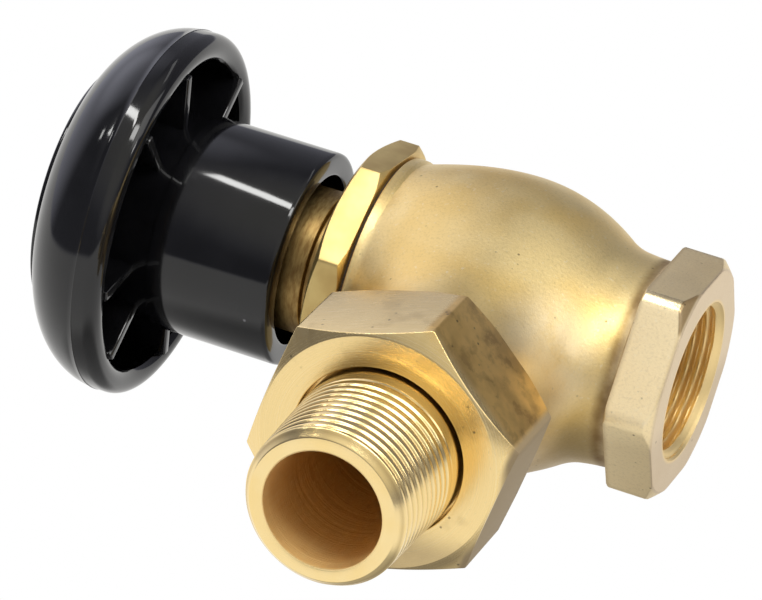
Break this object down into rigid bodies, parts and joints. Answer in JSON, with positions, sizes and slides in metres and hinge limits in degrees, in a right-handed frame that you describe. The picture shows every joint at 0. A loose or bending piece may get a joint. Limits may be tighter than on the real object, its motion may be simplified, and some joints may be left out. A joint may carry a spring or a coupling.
{
  "type": "union angle valve",
  "caption": "Brass angle valve with a threaded inlet, a union outlet with a male pipe tail, and a black long-sleeved handwheel.",
  "frame": {"origin": "on the stem axis, where the inlet thread starts, 1.3 mm inside the inlet face; the outlet axis crosses the stem axis 32.6 mm above it", "axes": "+Z along the stem, from the inlet towards the handwheel; +X along the outlet, out of the tailpiece; +Y completes the right-handed set"},
  "size_m": [0.1074, 0.0628, 0.1118],
  "materials": {
    "cast_brass": "satin, blasted cast surface with fine specks",
    "turned_brass": "turned and milled, semi-gloss",
    "nut_brass": "milled flats with stains, semi-gloss",
    "tail_brass": "turned, with a cut thread",
    "black_plastic": "gloss moulded black",
    "seat_rubber": "matt",
    "packing": "matt, graphited",
    "gasket_sheet": "matt, compressed fibre sheet",
    "screw_steel": "zinc plated"
  },
  "bodies": {
    "valve_body": {"body": "cast_brass", "bonnet_gasket": "gasket_sheet", "bonnet": "turned_brass", "packing_washer": "turned_brass", "packing_ring_1": "packing", "packing_ring_2": "packing", "packing_ring_3": "packing", "gland_washer": "turned_brass", "packing_nut": "turned_brass"},
    "disc_carrier": {"disc_holder": "turned_brass", "seat_disc": "seat_rubber", "disc_washer": "turned_brass", "disc_screw": "turned_brass"},
    "stem_wheel": {"stem": "turned_brass", "handwheel": "black_plastic", "hub_insert": "turned_brass", "wheel_washer": "screw_steel", "wheel_screw": "screw_steel", "handwheel_cap": "black_plastic"},
    "tail": {"tailpiece": "tail_brass"},
    "nut": {"union_nut": "nut_brass"}
  },
  "joints": [
    {"name": "stem_lift", "type": "slide", "parent": "valve_body", "child": "disc_carrier", "axis": [0, 0, 1], "range_m": [-0.00595, 0.001]},
    {"name": "wheel_turn", "type": "hinge", "parent": "disc_carrier", "child": "stem_wheel", "pos_m": [0, 0, 0.0326], "axis": [0, 0, 1], "range_deg": [-714.1, 120.1]},
    {"name": "union_draw", "type": "slide", "parent": "valve_body", "child": "tail", "axis": [1, 0, 0], "range_m": [0, 0.0069]},
    {"name": "union_nut_turn", "type": "hinge", "parent": "tail", "child": "nut", "pos_m": [0.045, 0, 0.0326], "axis": [1, 0, 0], "range_deg": [-0.1, 1080.1]}
  ],
  "couplings": [
    {"joint": "wheel_turn", "follows": "stem_lift", "rad_per_m": 2094.4},
    {"joint": "union_nut_turn", "follows": "union_draw", "rad_per_m": 2731.8}
  ]
}
